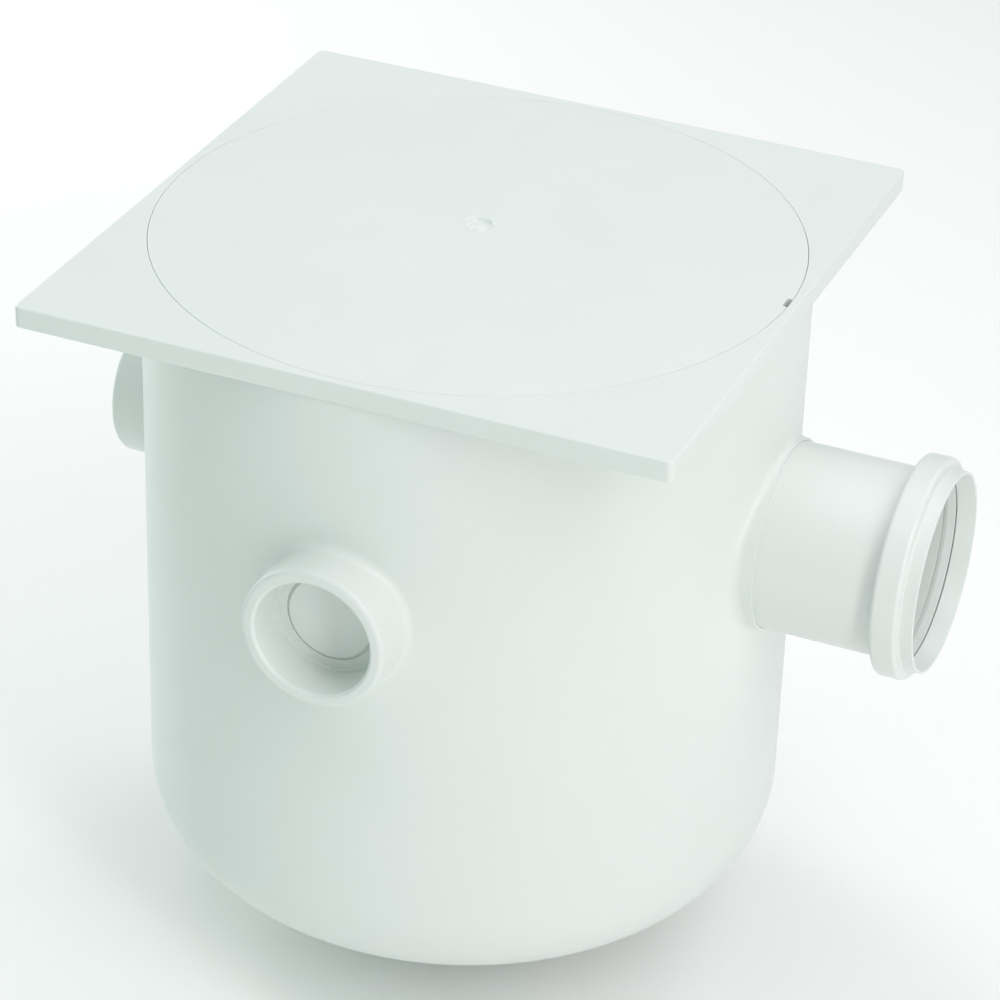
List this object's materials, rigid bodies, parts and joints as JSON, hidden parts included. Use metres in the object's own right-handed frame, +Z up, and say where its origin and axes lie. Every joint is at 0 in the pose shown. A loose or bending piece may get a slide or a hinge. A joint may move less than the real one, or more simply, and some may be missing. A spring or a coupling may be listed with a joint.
{
  "type": "gully trap",
  "caption": "Floor gully trap: round pot with blind side inlets, ring-seal outlet, lift-out dip tee and a square frame with a lift-off domed cover.",
  "frame": {"origin": "centre of the pot's standing ring, on the plane it stands on", "axes": "+Z up along the pot's axis, +X out of the outlet, so the inlets face -X, -Y and +Y"},
  "size_m": [0.37, 0.317, 0.3334],
  "materials": {
    "pot_pvc": "satin moulded PVC",
    "outlet_pvc": "satin moulded PVC",
    "outlet_rubber": "matt grey seal rubber",
    "frame_pvc": "satin moulded PVC",
    "cover_pvc": "satin moulded PVC",
    "tee_pvc": "satin moulded PVC",
    "tee_rubber": "matt black seal rubber",
    "plug_pvc": "satin moulded PVC",
    "plug_rubber": "matt black seal rubber"
  },
  "bodies": {
    "trap": {"pot": "pot_pvc", "outlet_socket": "outlet_pvc", "outlet_seal": "outlet_rubber", "frame": "frame_pvc", "dip_tee": "tee_pvc", "dip_tee_seal": "tee_rubber", "rodding_plug": "plug_pvc", "rodding_plug_seal": "plug_rubber"},
    "cover": {"cover": "cover_pvc"}
  },
  "joints": [
    {"name": "cover_lift", "type": "slide", "parent": "trap", "child": "cover", "axis": [0, 0, 1], "range_m": [0, 0.05]}
  ]
}
